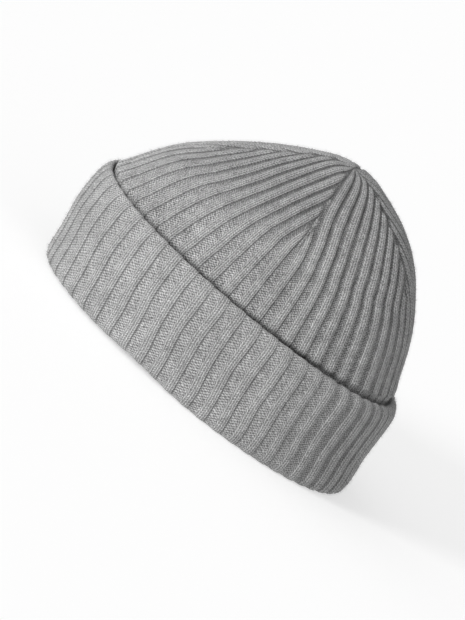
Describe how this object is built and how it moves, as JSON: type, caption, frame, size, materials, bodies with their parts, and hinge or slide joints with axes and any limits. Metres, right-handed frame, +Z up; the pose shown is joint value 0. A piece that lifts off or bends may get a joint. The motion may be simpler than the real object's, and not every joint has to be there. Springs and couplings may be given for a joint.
{
  "type": "fisherman beanie",
  "caption": "Fisherman beanie in a deep rib knit, with a rounded crown gathered at the tip and a deep turned-up cuff.",
  "frame": {"origin": "on the surface that the beanie stands on, under the middle of the whole", "axes": "+Z up, towards the tip of the crown; +X along the long way of the head opening, from the wearer's front to back"},
  "size_m": [0.2106, 0.1744, 0.143],
  "materials": {
    "crown_knit": "heather grey wool rib knit, soft and slightly fuzzy",
    "cuff_knit": "heather grey wool rib knit, soft and slightly fuzzy"
  },
  "bodies": {
    "root": {"crown": "crown_knit", "cuff": "cuff_knit"}
  },
  "joints": []
}
